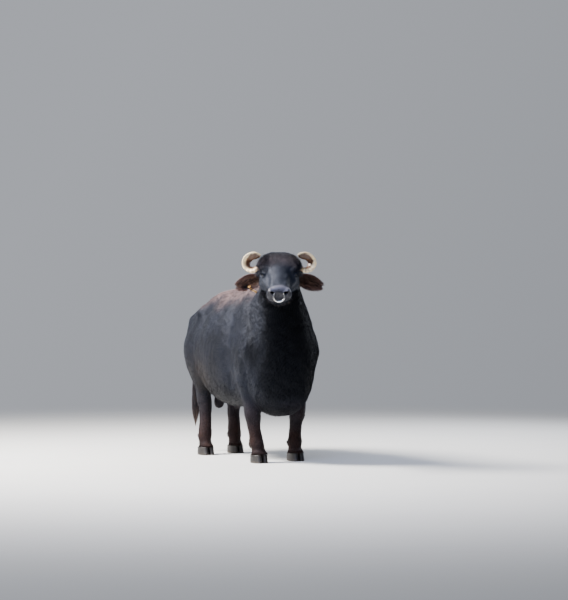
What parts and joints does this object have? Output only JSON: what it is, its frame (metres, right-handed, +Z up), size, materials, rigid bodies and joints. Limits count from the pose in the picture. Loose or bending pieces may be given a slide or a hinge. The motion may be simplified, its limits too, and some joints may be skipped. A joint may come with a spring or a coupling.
{
  "type": "water buffalo",
  "caption": "A heavy black water buffalo bull stands square with its head turned to one side, tightly curled horns, a nose ring and a bare ear tag.",
  "frame": {"origin": "on the floor under the middle of the whole animal", "axes": "+Z up, the body lies along Y and faces -Y, its left side is at +X"},
  "size_m": [0.842, 2.2374, 1.6772],
  "materials": {
    "hide": "satin",
    "horn": "satin",
    "hoof": "satin",
    "eye": "gloss",
    "steel": "polished",
    "tag": "satin"
  },
  "bodies": {
    "root": {"dewclaw_fore_left_inner": "hoof", "hoof_fore_left_inner": "hoof", "dewclaw_fore_left_outer": "hoof", "hoof_fore_left_outer": "hoof", "leg_fore_left": "hide", "dewclaw_fore_right_outer": "hoof", "hoof_fore_right_outer": "hoof", "dewclaw_fore_right_inner": "hoof", "hoof_fore_right_inner": "hoof", "leg_fore_right": "hide", "dewclaw_hind_left_inner": "hoof", "hoof_hind_left_inner": "hoof", "dewclaw_hind_left_outer": "hoof", "hoof_hind_left_outer": "hoof", "leg_hind_left": "hide", "dewclaw_hind_right_outer": "hoof", "hoof_hind_right_outer": "hoof", "dewclaw_hind_right_inner": "hoof", "hoof_hind_right_inner": "hoof", "leg_hind_right": "hide", "torso": "hide", "scrotum": "hide", "tail": "hide", "horn_right": "horn", "eye_right": "eye", "horn_left": "horn", "eye_left": "eye", "ear_left": "hide", "ear_right": "hide", "ear_tag": "tag", "neck": "hide", "head": "hide", "nose_ring": "steel"}
  },
  "joints": []
}
